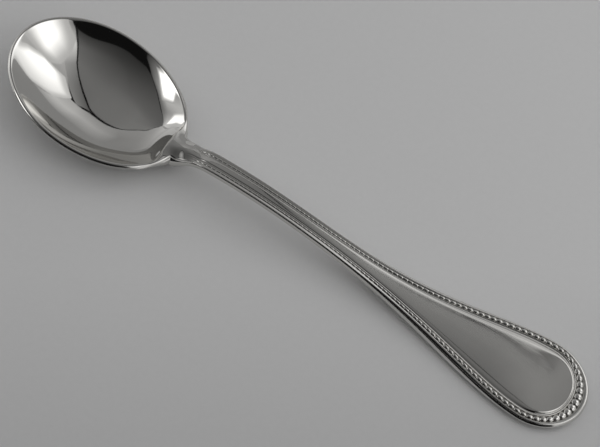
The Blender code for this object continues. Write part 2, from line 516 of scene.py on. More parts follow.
@dataclass(frozen=True)
class SteelFinish:
    """Stainless steel: clean colour, a darker colour of grime and painted shade for the recesses, gloss,
    scratches and waviness.

    Smudges, grain and waves are noises of (frequency per metre, detail). Scratches are streaks of
    (degrees, frequency along, frequency across). Dirt and tone map a span of noise to a span of shares;
    dirt mottles the grime and painted shade of the recesses, and each wear adds to the roughness.
    """

    name: str
    colour: Triple
    grime_and_shade_colour: Triple
    gloss: Span
    scratch: float
    waviness: float

    SMUDGE = (90.0, 4.0)
    GRAIN = (900.0, 3.0)
    WAVES = (160.0, 1.0)
    SCRATCHES = ((24.0, 45.0, 5200.0), (-38.0, 60.0, 6400.0))
    DIRT = ((0.3, 0.6), (0.55, 1.0))
    TONE = ((0.3, 0.7), (0.95, 1.0))
    GLOSS_FROM = (0.35, 0.7)
    LINE_WEAR = 0.05
    EDGE_WEAR = 0.05
    RECESS_WEAR = 0.22

    def material(self) -> bpy.types.Material:
        """Build the steel: smudged gloss, fine scratches, polishing waves and grime with painted shade in
        recesses.

        Returns:
            A material that reads the piece's own recess and edge values.
        """
        material = bpy.data.materials.new(self.name)
        material.use_nodes = True
        board = NodeBoard(material.node_tree)
        place = board.add("ShaderNodeTexCoord").outputs["Object"]
        recess = board.add("ShaderNodeAttribute", attribute_name="recess").outputs["Fac"]
        edge = board.add("ShaderNodeAttribute", attribute_name="edge").outputs["Fac"]

        smudge = board.noise(place, *self.SMUDGE)
        lines = board.work_out("MAXIMUM", *[board.streaks(place, *line) for line in self.SCRATCHES])
        dirt = board.stretch(board.noise(place, *self.GRAIN), *self.DIRT)
        # Painted shade with grime: the recess value, mottled by dirt, darkens the colour towards the recess
        # colour and adds roughness.
        dull = board.work_out("MULTIPLY", recess, dirt)
        tone = board.stretch(smudge, *self.TONE)
        clean = board.blend(1.0, (*self.colour, 1.0), tone, "MULTIPLY")
        colour = board.blend(dull, clean, (*self.grime_and_shade_colour, 1.0))

        gloss = board.stretch(smudge, self.GLOSS_FROM, self.gloss)
        worn = board.work_out("MULTIPLY_ADD", lines, self.LINE_WEAR, gloss)
        rubbed = board.work_out("MULTIPLY_ADD", edge, self.EDGE_WEAR, worn)
        rough = board.work_out("MULTIPLY_ADD", dull, self.RECESS_WEAR, rubbed)

        waves = board.noise(place, *self.WAVES)
        polished = {"Strength": 1.0, "Distance": self.waviness, "Height": waves}
        swell = board.add("ShaderNodeBump", polished).outputs[0]
        scored = {"Strength": 1.0, "Distance": self.scratch, "Height": lines, "Normal": swell}
        score = board.add("ShaderNodeBump", scored, invert=True).outputs[0]
        steel = {"Base Color": colour, "Metallic": 1.0, "Roughness": rough, "Normal": score}
        shader = board.add("ShaderNodeBsdfPrincipled", steel)
        board.add("ShaderNodeOutputMaterial", {"Surface": shader.outputs[0]})
        return material


STEEL = {
    Polish.MIRROR: SteelFinish(
        "mirror_polished_steel",
        colour=(0.72, 0.71, 0.685),
        grime_and_shade_colour=(0.40, 0.39, 0.36),
        gloss=(0.035, 0.065),
        scratch=2e-7,
        waviness=2e-7,
    ),
    Polish.BRIGHT: SteelFinish(
        "bright_polished_steel",
        colour=(0.70, 0.69, 0.665),
        grime_and_shade_colour=(0.30, 0.29, 0.27),
        gloss=(0.06, 0.11),
        scratch=4e-7,
        waviness=6e-7,
    ),
    Polish.STRUCK: SteelFinish(
        "struck_bead_steel",
        colour=(0.70, 0.69, 0.665),
        grime_and_shade_colour=(0.26, 0.25, 0.23),
        gloss=(0.08, 0.15),
        scratch=4e-7,
        waviness=4e-7,
    ),
}


def hand_in(piece: bpy.types.Object, node: str, polish: Polish) -> bpy.types.Object:
    """Dress a piece and let it stand for its solid.

    Args:
        piece: The piece.
        node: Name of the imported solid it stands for.
        polish: Finish of its steel.

    Returns:
        The piece.
    """
    piece.data.materials.append(STEEL[polish].material())
    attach(piece, BODY)
    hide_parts(node)
    LOG.info("%s: %d faces, %s", piece.name, len(piece.data.polygons), polish.value)
    return piece


@dataclass(frozen=True)
class Bowl:
    """The oval hollow with its rounded rim, and the short neck behind it."""

    form: SpoonForm
    floor: float = 1.4
    end_fullness: float = 1.0
    middle_fullness: float = 0.9
    middle_from: Span = (6.0, 18.0)
    middle_to: Span = (22.0, 38.0)
    front_power: float = 2.0
    neck_power: float = 2.6
    power_change: Span = (18.0, 34.0)
    neck_lean: float = 0.25
    rim_width: float = 0.45
    rim_thickness: float = 0.9
    rim_crest: float = 0.3
    rim_bulge: float = 0.38
    rim_bulge_fade: Span = (39.0, 43.5)
    rim_bevel: float = 0.4
    rim_band: float = 0.25
    rim_ease: float = 0.02
    belly_ease: float = 0.02
    table_ease: float = 0.05

    def fill(self, x: Array, y: Array, inset: float, ease: float) -> Array:
        """Depth at a place as a share of the full depth: (1 - r^power)^fullness, softened.

        Args:
            x: Stations.
            y: Distances from the axis.
            inset: How far the hollow is drawn in from the bowl's outline.
            ease: Softness of the corner where the hollow ends.

        Returns:
            Shares, where r is hypot(q, p) of the place's shares of the bowl's half length and half
            width. The neck's end has steeper walls, and the lean deepens it by a share of q^2.
        """
        form = self.form
        q = (x - form.bowl_widest_at) / (form.bowl_reach(x) - inset)
        p = y / (form.bowl_half - inset)
        power = mix(self.front_power, self.neck_power, ramp(x, *self.power_change))
        middle = ramp(x, *self.middle_from) * (1 - ramp(x, *self.middle_to))
        fullness = mix(self.end_fullness, self.middle_fullness, middle)
        share = soft_positive(1 - np.hypot(q, p) ** power, ease) ** fullness
        return share * (1 + self.neck_lean * np.clip(q, 0.0, 1.0) ** 2)

    def hollow(self, x: Array, y: Array) -> Array:
        """Height of the upper face: the edge less the hollow's depth, plus the stem's root."""
        form = self.form
        lowest = form.bowl_lowest_at
        fullest = self.fill(lowest, 0.0, self.rim_width, self.rim_ease)
        depth = (form.edge_height(lowest) - self.floor) / fullest
        hollow = depth * self.fill(x, y, self.rim_width, self.rim_ease)
        return form.edge_height(x) - hollow + form.root_rise(x, y)

    def belly(self, x: Array, y: Array, thickness: Array) -> Array:
        """Height of the under face: the edge less thickness and belly, kept off the table."""
        form = self.form
        lowest = form.bowl_lowest_at
        fullest = self.fill(lowest, 0.0, 0.0, self.belly_ease)
        depth = (form.edge_height(lowest) - self.rim_thickness) / fullest
        height = form.edge_height(x) - thickness - depth * self.fill(x, y, 0.0, self.belly_ease)
        return soft_positive(height, self.table_ease)

    def sections(self, outline: Outline, counts: tuple[int, int, int]) -> Array:
        """Half sections of the bowl, from the axis on top round the rim to the axis below.

        Args:
            outline: Half outline.
            counts: Columns on the upper face, round the rim and on the under face.

        Returns:
            Points with their recess and edge values, shaped (stations, columns, 5).
        """
        top, side, under = counts
        thick = np.full_like(outline.x, self.rim_thickness)
        inner_x, inner_y = outline.inset(self.rim_crest)
        share = np.sin(np.linspace(0, math.pi / 2, top, endpoint=False))[None, :]
        upper_x = np.repeat(inner_x[:, None], top, axis=1)
        upper_y = inner_y[:, None] * share
        upper = np.stack([upper_x, upper_y, self.hollow(upper_x, upper_y)], axis=-1)

        foot_z = self.belly(inner_x, inner_y, thick)
        crest_z = self.hollow(inner_x, inner_y)
        edge_z = self.form.edge_height(outline.x)
        bulge = self.rim_bulge * (1 - ramp(outline.x, *self.rim_bulge_fade))
        out_x, out_y = outline.inset(-bulge)
        out_y = np.where(outline.y == 0, 0.0, out_y)
        corner_x, corner_y = outline.inset(self.rim_crest / 2)
        rim = np.stack([
            np.stack([inner_x, inner_y, crest_z], axis=-1),
            np.stack([corner_x, corner_y, edge_z], axis=-1),
            np.stack([out_x, out_y, edge_z - self.rim_bevel], axis=-1),
            np.stack([out_x, out_y, edge_z - self.rim_bevel - self.rim_band], axis=-1),
            np.stack([outline.x, outline.y, edge_z - thick], axis=-1),
            np.stack([inner_x, inner_y, foot_z], axis=-1),
        ])
        rim = spline_columns(rim, side // SIDE_SPANS)[:, :side]

        share = np.cos(np.linspace(0, math.pi / 2, under))[None, :]
        under_x = np.repeat(inner_x[:, None], under, axis=1)
        under_y = inner_y[:, None] * share
        lower = np.stack([under_x, under_y, self.belly(under_x, under_y, thick[:, None])], axis=-1)
        points = np.concatenate([upper, rim, lower], axis=1)
        values = np.zeros((*points.shape[:2], 2))
        values[:, top:top + side, 1] = 1.0
        return np.concatenate([points, values], axis=-1)


@dataclass(frozen=True)
class Handle:
    """Arched stem that flares into a blade, with panel, cove, thread, bead groove and lip.

    Insets are measured from the upper edge towards the axis, rises from the edge's height.
    """

    form: SpoonForm
    thickness: Graduated = Graduated(2.3, 2.2, 2.0)
    lip_crest: Graduated = Graduated(0.22, 0.25, 0.6)
    bead_inset: Graduated = Graduated(1.1, 1.02, 2.5)
    groove_half: Graduated = Graduated(0.42, 0.58, 1.05)
    groove_depth: Graduated = Graduated(0.05, 0.42, 0.42)
    thread_inset: Graduated = Graduated(1.58, 1.75, 3.75)
    thread_rise: Graduated = Graduated(0.0, 0.04, 0.04)
    panel_inset: Graduated = Graduated(1.75, 2.25, 4.15)
    cove_depth: Graduated = Graduated(0.05, 0.10, 0.15)
    panel_rise: Graduated = Graduated(0.10, 0.27, 0.34)
    shoulder_run: Graduated = Graduated(0.4, 1.8, 0.75)
    crown_slope: Graduated = Graduated(0.05, 0.065, 0.065)
    bevel_top: Graduated = Graduated(0.10, 0.03, 0.45)
    bevel_run: Graduated = Graduated(0.14, 0.50, 0.0)
    bevel_drop: Graduated = Graduated(1.05, 0.80, 0.75)
    turn_run: Graduated = Graduated(0.85, 0.5, 0.5)
    turn_drop: Graduated = Graduated(0.28, 0.5, 0.5)
    flare_bevel: float = 0.4
    flare_drop: float = 0.55
    lip_rise: Graduated = Graduated(0.05, -0.03, -0.01)
    lip_fall: Graduated = Graduated(0.02, 0.08, 0.05)
    flare_lip_sink: float = 0.04
    flare_lip_fall: float = 0.06
    groove_brink: float = 0.02
    groove_wall: float = 0.85
    groove_bed: float = 1.1
    cove_bottom: float = 0.45
    cove_end: float = 0.12
    cove_end_depth: float = 0.5
    cove_dullness: float = 0.3
    run_shortening: float = 0.6
    run_taper: Span = (6.0, 5.0)
    crown_fade: Span = (14.0, 3.0)
    neck_crown: float = 0.35
    neck_flank: float = 0.5
    neck_flank_reach: float = 1.4
    neck_depth: float = 1.3
    neck_depth_behind: float = 0.6
    neck_depth_reach: float = 2.4
    back_turn: Span = (0.1, 0.3)
    back_inset: float = 0.9
    back_bulge: float = 0.8
    border_start: float = 46.5
    border_full: float = 51.5
    table_ease: float = 0.05

    PANEL_SHARES = (0.0, 0.35, 0.7, 0.9)
    SHOULDER_SHARES = (1.0, 0.7, 0.4, 0.15, 0.0)
    BACK_SHARES = (1.0, 0.8, 0.55, 0.3, 0.0)

    def relief(self, x: Array) -> Array:
        """How far the border has risen out of the plain neck."""
        return ramp(x, self.border_start, self.border_full)

    def tip_share(self, x: Array, places: Span) -> Array:
        """How far a station has passed from one place to another near the blade's tip.

        Args:
            x: Stations.
            places: Distance of the start before the blade's widest station, and of the end before
                the tip.

        Returns:
            Shares from 0 at the start to 1 at the end.
        """
        before_widest, before_tip = places
        return ramp(x, self.form.blade_widest_at - before_widest, self.form.length - before_tip)

    def sections(self, outline: Outline, per_span: int) -> Array:
        """Half sections of the handle, from the axis on top round the edge to the axis below.

        Each section is a smooth row of parabolas on named control points: panel, shoulder, cove,
        thread, bead groove, lip, rounded side and back. The panel is a parabola across, and the
        shoulder falls by a line with the panel's own slope plus a cubic that ends in the cove.

        Args:
            outline: Half outline.
            per_span: Columns in each span of the row.

        Returns:
            Points with their recess and edge values, shaped (stations, columns, 5).
        """
        form, x = self.form, outline.x
        relief = self.relief(x)
        half = np.maximum(form.half_width(x), form.neck_width / 2)
        spread = self.neck_flank * form.neck_swell(x, 0.0, self.neck_flank_reach)
        sag = self.neck_depth * form.neck_swell(x, self.neck_depth_behind, self.neck_depth_reach)
        flare = 4 * form.flare_share(x) * (1 - form.flare_share(x))
        bead, groove = self.bead_inset.at(form, x), self.groove_half.at(form, x)
        deep, thread = self.groove_depth.at(form, x), self.thread_inset.at(form, x)
        panel, cove = self.panel_inset.at(form, x), self.cove_depth.at(form, x)
        rise, lip = self.panel_rise.at(form, x), self.lip_crest.at(form, x)
        shortened = 1 - self.run_shortening * self.tip_share(x, self.run_taper)
        run = self.shoulder_run.at(form, x) * shortened
        slope = self.crown_slope.at(form, x) * (1 - self.tip_share(x, self.crown_fade))
        thick = self.thickness.at(form, x) + sag
        top = self.bevel_top.at(form, x)
        out = -self.bevel_run.at(form, x) - self.flare_bevel * flare
        drop = self.bevel_drop.at(form, x) + self.flare_drop * flare
        turn, turn_drop = self.turn_run.at(form, x), self.turn_drop.at(form, x)
        row = []

        def add(place: Place, lift: Array, recess: float = 0.0, edge: float = 0.0) -> None:
            """Add an upper control point, which sinks into the plain neck without relief."""
            plain = self.neck_crown * form.neck_share(x) * (1 - (place[1] / half) ** 2)
            height = form.edge_height(place[0]) + form.root_rise(*place) + mix(plain, lift, relief)
            # The recess share darkens the steel with grime and painted shade, and roughens it.
            dull = recess * relief * form.dullness(x)
            row.append(np.stack([*place, height, dull, edge * relief], axis=-1))

        def across(place: Place, share: float) -> Place:
            """Move a place straight towards the axis, to a share of its distance."""
            return place[0], place[1] * share

        shoulder = outline.inset(panel + run)
        for share in self.PANEL_SHARES:
            add(across(shoulder, share), rise + slope * shoulder[1] * (1 - share ** 2) / 2)
        for share in self.SHOULDER_SHARES:
            fall = slope * run * (1 - share)
            fall = fall + (rise + cove - slope * run) * (1 - share) ** 3
            add(outline.inset(panel + share * run), rise - fall)
        # The cove and bead groove get recess shares: painted shade with grime, darkest in the groove.
        faint, wall = self.cove_dullness, self.groove_wall * groove
        brink = np.full_like(x, -self.groove_brink)
        add(outline.inset(mix(thread, panel, self.cove_bottom)), -cove, recess=faint)
        add(outline.inset(mix(thread, panel, self.cove_end)), -self.cove_end_depth * cove, recess=faint)
        add(outline.inset(thread), self.thread_rise.at(form, x), edge=0.6)
        add(outline.inset(bead + groove), brink, recess=faint)
        add(outline.inset(bead + wall), -deep, recess=1.0)
        add(outline.inset(bead), -self.groove_bed * deep, recess=1.0)
        add(outline.inset(bead - wall), -deep, recess=1.0)
        add(outline.inset(bead - groove), brink, recess=faint)
        add(outline.inset(lip), self.lip_rise.at(form, x) - self.flare_lip_sink * flare, edge=1.0)

        edge_z = form.edge_height(x)

        def side(inset: Array, fall: Array, flank: float, edge: float) -> None:
            """Add a control point of the bevelled side, spread into the neck's flank."""
            place_x = x + outline.inward_x * inset
            place_y = np.maximum(outline.y + outline.inward_y * inset, 0.0) + flank * spread
            place_y = np.where(outline.y == 0, 0.0, place_y)
            height = np.maximum(edge_z - fall, 0.0)
            row.append(np.stack([place_x, place_y, height, 0 * x, 0 * x + edge], axis=-1))

        turn_in, turn_under = self.back_turn
        side(top, self.lip_fall.at(form, x) + self.flare_lip_fall * flare, flank=0.1, edge=1.0)
        side(mix(top, out, turn), turn_drop * drop, flank=0.7, edge=0.6)
        side(out, drop, flank=1.0, edge=0.8)
        side(out + turn_in, drop + turn_under + sag, flank=0.9, edge=0.4)
        back = outline.inset(np.full_like(x, self.back_inset))
        spine = self.back_bulge * (1 - form.flare_share(x)) * form.neck_share(x)
        for share in self.BACK_SHARES:
            place = across(back, share)
            height = form.edge_height(place[0]) - thick - spine * (1 - share ** 2)
            height = soft_positive(height, self.table_ease)
            row.append(np.stack([*place, height, 0 * x, 0 * x], axis=-1))
        return spline_columns(np.stack(row), per_span)


@dataclass(frozen=True)
class SpoonBody:
    """Bowl and handle as one striking, parted at the neck."""

    form: SpoonForm
    bowl: Bowl
    handle: Handle
    per_span: int = 4
    blend_start: float = 41.8
    blend_end: float = 45.0

    def build(self) -> tuple[bpy.types.Object, bpy.types.Object]:
        """Blend the bowl's sections into the handle's and part them at the neck joint.

        Returns:
            The bowl's piece and the handle's piece.
        """
        outline, joint = self.form.outline()
        handle = self.handle.sections(outline, self.per_span)
        columns = handle.shape[1]
        side = SIDE_SPANS * self.per_span
        under = BACK_SPANS * self.per_span + 1
        bowl = self.bowl.sections(outline, (columns - side - under, side, under))
        share = ramp(outline.x, self.blend_start, self.blend_end)[:, None, None]
        whole = mix(bowl, handle, share)
        return (
            hand_in(self.part(whole[: joint + 1], "bowl_body", -1), "bowl", Polish.MIRROR),
            hand_in(self.part(whole[joint:], "handle_body", 0), "handle", Polish.BRIGHT),
        )

    def part(self, sections: Array, name: str, cut: int) -> bpy.types.Object:
        """Make one closed piece from a run of half sections.

        Args:
            sections: Half sections, shaped (stations, columns, 5).
            name: Name of the piece.
            cut: Station that is closed by a flat face, 0 or -1.

        Returns:
            The piece.
        """
        rows, columns = sections.shape[:2]
        index = np.arange(rows * columns).reshape(rows, columns)
        ring = index[cut] if cut else index[cut][::-1]
        flat = sections.reshape(-1, 5)
        values = {"recess": flat[:, 3], "edge": flat[:, 4]}
        half = Surface(flat[:, :3], grid_faces(rows, columns), values, (ring,))
        return half.mirrored().piece(name, self.form)


@dataclass(frozen=True)
class BeadBorder:
    """The row of beads in the handle's groove, down both edges and round the tip."""

    form: SpoonForm
    handle: Handle
    radius: Graduated = Graduated(0.30, 0.55, 0.56)
    stretch: Graduated = Graduated(1.0, 1.0, 1.8)
    pitch: Graduated = Graduated(1.25, 1.6, 1.65)
    sink: Graduated = Graduated(0.20, 0.30, 0.30)
    waist: Graduated = Graduated(0.8, 0.5, 0.5)
    waist_dullness: float = 0.6
    start: float = 48.0
    start_share: float = 0.35
    start_lead: float = 1.0
    steps: int = 12
    around: int = 14
    detail: int = 4000

    def path(self) -> dict[str, Array]:
        """Lay out the wire from the neck round the tip and back to the neck.

        Returns:
            Places, inward normals, stations and each place's count of beads, all along the path.
        """
        form = self.form
        angle = np.linspace(0, math.pi / 2, self.detail // 4)
        run = np.linspace(self.start, form.blade_widest_at, self.detail)
        x = np.concatenate([run, form.blade_widest_at + form.blade_end * np.sin(angle[1:])])
        y = form.half_width(x)
        y[-1] = 0.0
        outline = Outline.through(x, y)
        place_x, place_y = outline.inset(self.handle.bead_inset.at(form, x))
        step = np.hypot(np.diff(place_x), np.diff(place_y))
        pitch = self.pitch.at(form, x)
        count = np.concatenate([[0.0], np.cumsum(2 * step / (pitch[1:] + pitch[:-1]))])
        height = form.edge_height(place_x) + form.root_rise(place_x, place_y)
        height = height - self.sink.at(form, x) * self.handle.relief(x)
        half = np.stack([place_x, place_y, height, outline.inward_x, outline.inward_y, x], axis=-1)
        back = half[-2::-1] * np.array([1, -1, 1, 1, -1, 1])
        total = np.round(2 * count[-1])
        count = count * total / (2 * count[-1])
        return {
            "rows": np.concatenate([half, back]),
            "count": np.concatenate([count, total - count[-2::-1]]),
        }

    def build(self) -> bpy.types.Object:
        """Carry a round section along the path, swelling at each bead.

        Within a bead the radius is the bead's own times waist + (1 - waist) sqrt(1 - s^2), where s
        runs from -1 to 1 from waist to waist.

        Returns:
            The piece.
        """
        path = self.path()
        beads = int(path["count"][-1])
        stops = np.linspace(0, beads, beads * self.steps + 1)
        columns = [np.interp(stops, path["count"], column) for column in path["rows"].T]
        rows = np.stack(columns, axis=-1)
        station = rows[:, 5]
        s = 2 * (stops % 1.0) - 1
        waist = self.waist.at(self.form, station)
        swell = waist + (1 - waist) * np.sqrt(np.clip(1 - s ** 2, 0.0, None))
        swell[[0, -1]] = 0.0
        fade = ramp(station, self.start - self.start_lead, self.handle.border_full)
        radius = self.radius.at(self.form, station) * swell * mix(self.start_share, 1.0, fade)
        wide = radius * self.stretch.at(self.form, station)

        centre = rows[:, :3]
        along = np.gradient(centre, axis=0)
        along /= np.linalg.norm(along, axis=1, keepdims=True)
        inward = np.column_stack([rows[:, 3:5], np.zeros(len(rows))])
        upward = np.cross(inward, along)
        upward /= np.linalg.norm(upward, axis=1, keepdims=True)
        inward = np.cross(along, upward)
        angle = np.linspace(0, 2 * math.pi, self.around + 1)[None, :, None]
        ring = wide[:, None, None] * np.cos(angle) * inward[:, None]
        ring = ring + radius[:, None, None] * np.sin(angle) * upward[:, None]
        points = (centre[:, None] + ring).reshape(-1, 3)
        # Painted shade with grime: darker in the waists between beads and on the beads' lower halves, where
        # shade falls.
        between = np.clip(self.waist_dullness - swell, 0.0, None)[:, None]
        under = np.clip(-np.sin(angle[0, :, 0]), 0.0, None)[None]
        dull = np.clip(between + under, 0.0, 1.0) * self.form.dullness(station)[:, None]
        values = {"recess": dull.reshape(-1), "edge": np.zeros(len(points))}
        surface = Surface(points, grid_faces(len(rows), self.around + 1), values)
        LOG.info("bead border: %d beads", beads)
        return hand_in(surface.piece("bead_row", self.form), "bead_border", Polish.STRUCK)


@dataclass(frozen=True)
class TableTop:
    """The pale grey table under the spoon.

    Its tone goes from near to far along a direction in plan, in metres, with a little mottle. The darker
    near tone is painted shade, for the light falling off towards the camera.
    """

    size: float = 6.0
    drop: float = 0.00002
    shaded_near_tone: float = 0.70
    far_tone: float = 0.86
    painted_falloff_along: Triple = (-0.6, 0.8, 0.0)
    painted_falloff_span: Span = (-0.07, -0.01)
    painted_falloff_share: Span = (-0.1, 0.8)
    mottle: float = 0.2
    mottle_grain: Span = (700.0, 3.0)
    roughness: float = 0.75
    sheen: float = 0.2

    def build(self) -> bpy.types.Object:
        """Lay a flat sheet just under the spoon, faintly mottled, with painted shade that darkens it
        towards the camera.
        """
        half = self.size / 2
        mesh = bpy.data.meshes.new("table_top")
        plan = ((-half, -half), (half, -half), (half, half), (-half, half))
        mesh.from_pydata([(x, y, -self.drop) for x, y in plan], [], [(0, 1, 2, 3)])
        table = bpy.data.objects.new("table_top", mesh)
        bpy.context.scene.collection.objects.link(table)
        material = bpy.data.materials.new("pale_table")
        material.use_nodes = True
        board = NodeBoard(material.node_tree)
        place = board.add("ShaderNodeTexCoord").outputs["Object"]
        grain = board.noise(place, *self.mottle_grain)
        # Painted shade: the tone darkens towards the camera, for the light falling off.
        along = {0: place, 1: self.painted_falloff_along}
        across = board.add("ShaderNodeVectorMath", along, operation="DOT_PRODUCT").outputs["Value"]
        fall = board.stretch(across, self.painted_falloff_span, self.painted_falloff_share)
        share = board.work_out("MULTIPLY_ADD", grain, self.mottle, fall)
        near, far = [(tone, tone, tone, 1.0) for tone in (self.shaded_near_tone, self.far_tone)]
        paint = {
            "Base Color": board.blend(share, near, far),
            "Roughness": self.roughness,
            "Specular IOR Level": self.sheen,
        }
        shader = board.add("ShaderNodeBsdfPrincipled", paint)
        board.add("ShaderNodeOutputMaterial", {"Surface": shader.outputs[0]})
        mesh.materials.append(material)
        return table


@dataclass(frozen=True)
class PhotoCamera:
    """The camera at the photograph's viewing angle, for an image 600 pixels wide."""

    target: Triple = (0.00029, 0.00012, 0.005)
    distance: float = 0.5
    elevation: float = 57.42
    azimuth: float = 11.06
    roll: float = 22.34
    focal_pixels: float = 2179.0
    image_width: float = 600.0
    sensor: float = 36.0
    clip_start: float = 0.01

    def axes(self) -> tuple[Vector, Vector, Vector]:
        """Unit vectors to the right, upwards and back towards the camera, before the roll."""
        around, up = math.radians(self.azimuth), math.radians(self.elevation)
        level = math.cos(up)
        back = Vector((math.sin(around) * level, -math.cos(around) * level, math.sin(up)))
        right = Vector((math.cos(around), math.sin(around), 0.0))
        return right, back.cross(right), back

    def build(self) -> bpy.types.Object:
        """Place the camera and make it the scene's own."""
        right, upward, back = self.axes()
        turn = math.radians(self.roll)
        rolled_right = math.cos(turn) * right + math.sin(turn) * upward
        rolled_up = math.cos(turn) * upward - math.sin(turn) * right
        data = bpy.data.cameras.new("photo_camera")
        data.sensor_width = self.sensor
        data.lens = self.focal_pixels / self.image_width * self.sensor
        data.clip_start = self.clip_start
        camera = bpy.data.objects.new("photo_camera", data)
        bpy.context.scene.collection.objects.link(camera)
        turned = Matrix((rolled_right, rolled_up, back)).transposed().to_4x4()
        place = Vector(self.target) + self.distance * back
        camera.matrix_world = Matrix.Translation(place) @ turned
        bpy.context.scene.camera = camera
        return camera


@dataclass(frozen=True)
class Card:
    """One glowing sheet of the light tent, stretched over a row of rails.

    A rail's points are (along the spoon, across it, glow), with places in shares of the tent's
    height, on the level of the card. The glow changes evenly between the points. A feathered card
    fades to the glow of its surround along its border. A card that reaches the table lights it
    or, where it is dark, shades it. The other cards are seen only in the steel.
    """

    name: str
    level: float
    rails: tuple[tuple[Triple, ...], ...]
    reaches_table: bool = False
    feather: float = 0.0
    surround: float = 0.0

    FINENESS = 33

    def sheet(self) -> Array:
        """Spread the rails into a fine grid.

        Returns:
            Places and glow, shaped (rows, columns, 4).
        """
        rails = resample(np.array(self.rails), self.FINENESS)
        fine = resample(rails.swapaxes(0, 1), self.FINENESS).swapaxes(0, 1)
        glow = fine[..., 2]
        if self.feather:
            share = np.linspace(0, 1, self.FINENESS)
            window = ramp(np.minimum(share, 1 - share), 0.0, self.feather)
            glow = mix(self.surround, glow, window[:, None] * window[None, :])
        return np.stack([fine[..., 0], fine[..., 1], np.full_like(glow, self.level), glow], axis=-1)


@dataclass(frozen=True)
class Wall:
    """One upright sheet of the light tent, from the table up to its top.

    The stations are (along the spoon, across it, glow), with places in shares of the tent's
    height. A wall reaches the table as a card does.
    """

    name: str
    stations: tuple[Triple, ...]
    top: float = 1.0
    reaches_table: bool = False

    def sheet(self) -> Array:
        """Stand the stations up: places and glow, shaped (2, stations, 4)."""
        plan = np.array(self.stations)
        levels = [np.full(len(plan), level) for level in (0.0, self.top)]
        return np.stack([np.column_stack([plan[:, :2], level, plan[:, 2]]) for level in levels])


